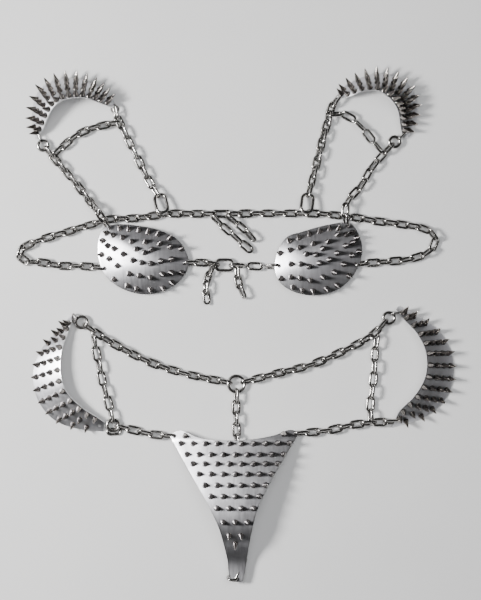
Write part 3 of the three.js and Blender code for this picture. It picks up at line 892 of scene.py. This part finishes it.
# Chain routes: points along the middle of each chain, with a height only where it leaves the
# surface.
ROUTES = {
    "shoulder_tie_left": [
        (-0.2115, 0.206), (-0.2055, 0.2135), (-0.194, 0.223), (-0.182, 0.23), (-0.17, 0.234),
        (-0.158, 0.237), (-0.147, 0.239),
    ],
    "shoulder_tie_right": [
        (0.169, 0.211), (0.16, 0.222), (0.1505, 0.234), (0.139, 0.2445), (0.13, 0.25),
        (0.1195, 0.251),
    ],
    "front_strap_left": [
        (-0.222, 0.2055), (-0.2035, 0.18), (-0.189, 0.163), (-0.176, 0.146),
        (-0.1655, 0.1335, OVER_CHAIN), (-0.153, 0.1205, OVER_CHAIN),
    ],
    "front_strap_right": [
        (0.178, 0.2085), (0.16, 0.1835), (0.1495, 0.164), (0.1375, 0.152),
        (0.1295, 0.137, OVER_CHAIN), (0.132, 0.12, OVER_CHAIN),
    ],
    "back_strap_left": [
        (-0.145, 0.2555), (-0.1435, 0.247), (-0.1385, 0.2375), (-0.13, 0.2195), (-0.122, 0.204),
        (-0.1135, 0.187), (-0.104, 0.169), (-0.098, 0.1585),
    ],
    "back_strap_right": [
        (0.1175, 0.266), (0.1115, 0.255), (0.11, 0.241), (0.106, 0.2315), (0.1, 0.2075),
        (0.094, 0.1835), (0.089, 0.1605),
    ],
    "band_chain_left": [
        (-0.1695, 0.066), (-0.1905, 0.0685), (-0.213, 0.0685), (-0.2335, 0.073),
        (-0.2525, 0.0735), (-0.261, 0.0805), (-0.258, 0.089), (-0.244, 0.096), (-0.2275, 0.102),
        (-0.206, 0.108), (-0.1865, 0.1145), (-0.1675, 0.1195), (-0.154, 0.1245), (-0.128, 0.125),
        (-0.104, 0.1275), (-0.086, 0.1308), (-0.056, 0.1308), (-0.032, 0.1308),
    ],
    "band_chain_right": [
        (-0.004, 0.1308), (0.0295, 0.1313), (0.0535, 0.1313), (0.0845, 0.1313), (0.112, 0.13),
        (0.127, 0.128), (0.1495, 0.1253), (0.1625, 0.1225), (0.188, 0.1195), (0.207, 0.1165),
        (0.225, 0.113), (0.238, 0.1045), (0.237, 0.0925), (0.224, 0.0815), (0.201, 0.0755),
        (0.1735, 0.073), (0.1555, 0.07),
    ],
    "band_tail_long": [
        (-0.024, 0.1195), (-0.017, 0.1165), (-0.0036, 0.1048), (0.008, 0.0945), (0.0195, 0.085),
    ],
    "band_tail_short": [(-0.0025, 0.119), (0.01, 0.1115), (0.0186, 0.102), (0.0235, 0.0973)],
    "bust_chain_left": [(-0.052, 0.0715), (-0.04, 0.0725), (-0.0275, 0.0705)],
    "bust_chain_right": [(-0.0015, 0.0685), (0.0115, 0.0685), (0.034, 0.0675), (0.0425, 0.068)],
    "bust_tail_left": [(-0.032, 0.063), (-0.036, 0.051), (-0.037, 0.04), (-0.0345, 0.0215)],
    "bust_tail_right": [(0.001, 0.062), (0.0015, 0.0515), (0.0055, 0.04), (0.011, 0.0285)],
    "back_chain_left": [
        (-0.1745, -0.0065), (-0.164, -0.0145), (-0.14, -0.029), (-0.104, -0.047),
        (-0.068, -0.059), (-0.038, -0.066), (-0.014, -0.071),
    ],
    "back_chain_right": [
        (0.014, -0.0695), (0.046, -0.061), (0.088, -0.0505), (0.13, -0.0325), (0.1625, -0.0145),
        (0.173, -0.0055),
    ],
    "side_chain_left": [
        (-0.1703, -0.023), (-0.1686, -0.0325), (-0.165, -0.047), (-0.1615, -0.066),
        (-0.156, -0.086), (-0.151, -0.104), (-0.15, -0.11),
    ],
    "side_chain_right": [
        (0.1675, -0.023), (0.166, -0.0325), (0.165, -0.0565), (0.1625, -0.0805), (0.16, -0.0985),
        (0.161, -0.1125),
    ],
    "hip_front_chain_left": [
        (-0.1375, -0.125), (-0.122, -0.1285), (-0.104, -0.133), (-0.083, -0.136),
    ],
    "hip_front_chain_right": [
        (0.0785, -0.131), (0.088, -0.131), (0.112, -0.1285), (0.136, -0.1225), (0.16, -0.1195),
        (0.1835, -0.1185),
    ],
    "crotch_chain": [
        (0, -0.086), (-0.0005, -0.1165), (0.0005, -0.138), (0.002, -0.188), (0.005, -0.23),
        (0.0085, -0.262), (0.0095, -0.28), (0.006, -0.298),
    ],
}


def over_ring(name):
    """The end link goes round the wire of a ring."""
    diameter, x, y, z = RINGS[name]
    return ("ring", Vector((x, y, z)), (diameter - WIRE) / 2)


def over_wire(x, y, z=CHAIN_MIDDLE, wire=WIRE):
    """The end link goes round a wire whose middle is at a point."""
    return ("wire", Vector((x, y, z)), wire)


def over_link(x, y, z=0.005):
    """The end link goes round the wire of another link."""
    return over_wire(x, y, z, LINK["wire"])


def through(node, hole):
    """The end link goes through one of the holes of a plate."""
    return ("hole", node, hole)


def end_of(point, hook):
    """The outer end of the last link, beyond the end of the drawn route."""
    kind, where, size = hook
    if kind == "hole":
        spot, normal = spot_on(where, *HOLES[where][size])
        where = spot - normal * (SHEET / 2)
        past = LINK["wire"] / 2
    elif kind == "ring":
        toward = (where - point).to_2d().normalized().to_3d()
        where = where - toward * size
        past = WIRE / 2 + LINK["wire"]
    else:
        past = size / 2 + LINK["wire"]
    return where + (where - point).normalized() * past


# For each chain: how its links lie, the lean of its upright links in degrees, and what its two
# ends hook onto.
CHAINS = {
    "shoulder_tie_left": (TAUT, 26, over_link(-0.217, 0.2025), over_link(-0.142, 0.2395)),
    "shoulder_tie_right": (TAUT, 26, over_link(0.1725, 0.2065), over_link(0.113, 0.2495)),
    "front_strap_left": (SLACK, 33, over_ring("shoulder_ring_left"), through("cup_left", 2)),
    "front_strap_right": (SLACK, 33, over_ring("shoulder_ring_right"), through("cup_right", 2)),
    "back_strap_left": (
        SLACK,
        33,
        over_wire(-0.1455, 0.2585, 0.005, JUMP_WIRE),
        over_wire(-0.0945, 0.1535, 0.008),
    ),
    "back_strap_right": (SLACK, 33, through("shoulder_plate_right", 0), over_wire(0.0862, 0.1545, 0.008)),
    "band_chain_left": (TAUT, 26, through("cup_left", 0), over_wire(-0.0288, 0.1308, 0.004)),
    "band_chain_right": (TAUT, 26, over_wire(-0.0073, 0.1308, 0.004), through("cup_right", 1)),
    "band_tail_long": (TAUT, 30, over_wire(-0.0275, 0.1265, 0.004), None),
    "band_tail_short": (SLACK, 33, over_wire(-0.009, 0.1265, 0.004), None),
    "bust_chain_left": (TAUT, 26, through("cup_left", 1), over_wire(-0.0247, 0.070, 0.004)),
    "bust_chain_right": (TAUT, 26, over_wire(-0.0043, 0.069, 0.004), through("cup_right", 0)),
    "bust_tail_left": (SLACK, 33, over_link(-0.0278, 0.068, 0.004), None),
    "bust_tail_right": (SLACK, 33, over_link(0.0008, 0.0665, 0.004), None),
    "back_chain_left": (TAUT, 28, over_ring("hip_ring_left"), over_ring("back_ring")),
    "back_chain_right": (TAUT, 28, over_ring("back_ring"), over_ring("hip_ring_right")),
    "side_chain_left": (TAUT, 26, over_link(-0.171, -0.0165), over_ring("hip_ring_low_left")),
    "side_chain_right": (TAUT, 26, over_link(0.1685, -0.0175), over_link(0.161, -0.117)),
    "hip_front_chain_left": (TAUT, 26, over_ring("hip_ring_low_left"), through("front_plate", 0)),
    "hip_front_chain_right": (TAUT, 26, through("front_plate", 1), through("hip_plate_right", 1)),
    "crotch_chain": (TAUT, 30, over_ring("back_ring"), over_link(-0.003, -0.3043, 0.006)),
}


def chain(node, pitch, lean, start, end):
    route = [Vector((*p[:2], p[2] if len(p) > 2 else CHAIN_MIDDLE)) for p in ROUTES[node]]
    if start:
        route[0] = end_of(route[1], start)
    if end:
        route[-1] = end_of(route[-2], end)
    loops = links_along(route, pitch, lean, (start, end), odd=bool(start and end))
    points, faces = joined(loops)
    new_piece(f"{node}_links", points, faces, CHAIN_STEEL, [node])


def ring(node, diameter, x, y, z):
    form = wire_loop(diameter, diameter, WIRE, bend_steps=16, sides=16)
    points, faces = joined([(form, Matrix.Translation((x, y, z)))])
    new_piece(f"{node}_wire", points, faces, CHAIN_STEEL, [node])


def oval(node, length, width, corner, middle, turn, tilt):
    form = wire_loop(length, width, WIRE, corner, bend_steps=10, sides=16)
    place = link_place(Vector(middle), heading(turn, -tilt), 0)
    points, faces = joined([(form, place)])
    new_piece(f"{node}_wire", points, faces, CHAIN_STEEL, [node])


# Small links that join plates and rings: length, width, wire, middle, heading, climb and roll in
# degrees.
JOINTS = {
    "shoulder_join_left": (0.0145, 0.0095, JUMP_WIRE, (-0.2362, 0.2226, 0.0055), -73, 0, 85),
    "shoulder_join_right": (0.0135, 0.0095, JUMP_WIRE, (0.1978, 0.2235, 0.0055), 41, 0, 85),
    "shoulder_back_join_left": (0.012, 0.011, JUMP_WIRE, (-0.1455, 0.2560, 0.0050), -50, 0, 20),
    "hip_join_left": (0.014, 0.010, JUMP_WIRE, (-0.1945, 0.0050, 0.0060), -80, 0, 62),
    "hip_join_right": (0.014, 0.0095, JUMP_WIRE, (0.1918, 0.0118, 0.0055), 12, 0, 80),
    "hip_join_low_left": (0.019, 0.010, LINK["wire"], (-0.1470, -0.1302, 0.00165), 4, 0, 0),
    "tip_join": (0.0145, 0.0112, LINK["wire"], (-0.0048, -0.3043, 0.0103), 180, 0, 58),
}


def joint(name, length, width, wire, middle, turn, climb, roll):
    form = wire_loop(length, width, wire, bend_steps=10, sides=12)
    place = link_place(Vector(middle), heading(turn, climb), math.radians(roll))
    points, faces = joined([(form, place)])
    new_piece(name, points, faces, CHAIN_STEEL)


# ---- The armour ----
for side, form in CUPS.items():
    cup(f"cup_{side}", *form)
for node, form in CRESCENTS.items():
    crescent(node, *form)
front_plate(**FRONT_PLATE)
for node, form in RINGS.items():
    ring(node, *form)
for node, form in OVALS.items():
    oval(node, *form)
for node, form in CHAINS.items():
    chain(node, *form)
for name, form in JOINTS.items():
    joint(name, *form)


# ---- Stage ----
def pale_floor():
    bpy.ops.mesh.primitive_plane_add(size=8, location=(0, 0, -0.0003))
    floor = bpy.context.object
    floor.name = "floor"
    material, tree, shader = node_material("pale_floor")
    grain = noise_of(tree, mapped(tree, "Object", (1, 1, 1)), 3.0, detail=3)
    tree.links.new(
        ramp_of(tree, grain, (0.3, (0.60, 0.60, 0.60)), (0.7, (0.64, 0.64, 0.635))),
        shader.inputs["Base Color"],
    )
    shader.inputs["Roughness"].default_value = 0.9
    shader.inputs["Specular IOR Level"].default_value = 0.1
    floor.data.materials.append(material)


def softbox(name, place, target, size, power, colour, glossy):
    light = bpy.data.lights.new(name, "AREA")
    light.shape = "RECTANGLE"
    light.size, light.size_y = size
    light.energy = power
    light.color = colour
    lamp = bpy.data.objects.new(name, light)
    lamp.visible_glossy = glossy
    bpy.context.collection.objects.link(lamp)
    lamp.location = place
    lamp.rotation_mode = "QUATERNION"
    lamp.rotation_quaternion = (Vector(target) - Vector(place)).to_track_quat("-Z", "Y")


def studio_world():
    """A dim studio: darker overhead than round the walls."""
    world = bpy.data.worlds.new("studio")
    bpy.context.scene.world = world
    world.use_nodes = True
    tree = world.node_tree
    background = tree.nodes["Background"]
    direction = add_node(tree, "ShaderNodeTexCoord")
    split = add_node(tree, "ShaderNodeSeparateXYZ")
    tree.links.new(direction.outputs["Generated"], split.inputs["Vector"])
    shade = ramp_of(tree, split.outputs["Z"], (0.0, 0.3), (0.28, 0.05), (0.7, 0.025), (1.0, 0.035))
    tree.links.new(shade, background.inputs["Color"])
    background.inputs["Strength"].default_value = 1.0


def camera():
    """Straight down, 2.4 m above the surface, with 0.72 m of it from top to bottom of the view."""
    height, field = 2.4, 0.72
    data = bpy.data.cameras.new("camera")
    data.sensor_width = 36
    data.lens = data.sensor_width * height / field
    data.clip_start, data.clip_end = 0.05, 20
    eye = bpy.data.objects.new("camera", data)
    bpy.context.collection.objects.link(eye)
    eye.location = Vector((0.0048, 0.0276, height)) + SHIFT
    bpy.context.scene.camera = eye


pale_floor()
studio_world()
softbox("key", (-1.3, 0.12, 1.24), (0, 0, 0), (0.42, 0.42), 70, (1.0, 0.99, 0.98), True)
softbox("fill", (0.3, 0.3, 2.2), (0, 0, 0), (2.0, 2.0), 45, (0.97, 0.98, 1.0), False)
camera()
